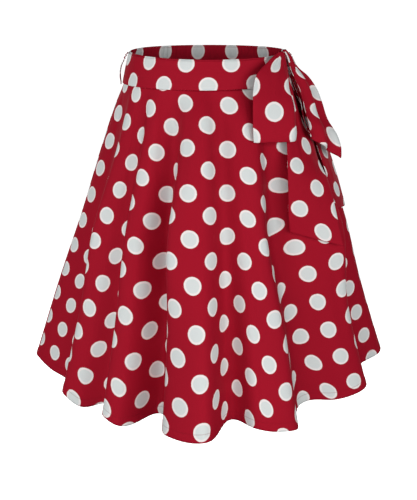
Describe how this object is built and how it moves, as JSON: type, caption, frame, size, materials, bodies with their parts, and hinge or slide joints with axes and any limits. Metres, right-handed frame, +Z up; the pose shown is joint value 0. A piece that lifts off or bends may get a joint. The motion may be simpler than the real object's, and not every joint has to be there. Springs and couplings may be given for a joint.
{
  "type": "circle skirt",
  "caption": "Half-circle swing skirt, red with white polka dots, with an elastic-backed waistband and a tie sash in a bow at the left hip",
  "frame": {"origin": "the middle of the waist, at the waistband's top edge, where the skirt is worn", "axes": "+Z up, -Y towards the front, +X towards the wearer's left, where the bow is"},
  "size_m": [0.6937, 0.6645, 0.628],
  "materials": {
    "skirt_cotton": "matt printed cotton sateen, white dots on red",
    "waistband_cotton": "the same cloth over an interlining, gathered on elastic at the back",
    "sash_cotton": "the same cloth, doubled and pressed",
    "carrier_cotton": "narrow strip of the same cloth, edge stitched"
  },
  "bodies": {
    "root": {"skirt_front": "skirt_cotton", "skirt_back": "skirt_cotton", "waistband_front": "waistband_cotton", "waistband_back": "waistband_cotton", "sash_waist": "sash_cotton", "sash_knot": "sash_cotton", "bow_loop_front": "sash_cotton", "bow_loop_side": "sash_cotton", "sash_tail_front": "sash_cotton", "sash_tail_side": "sash_cotton", "belt_loop_left": "carrier_cotton", "belt_loop_right": "carrier_cotton"}
  },
  "joints": []
}
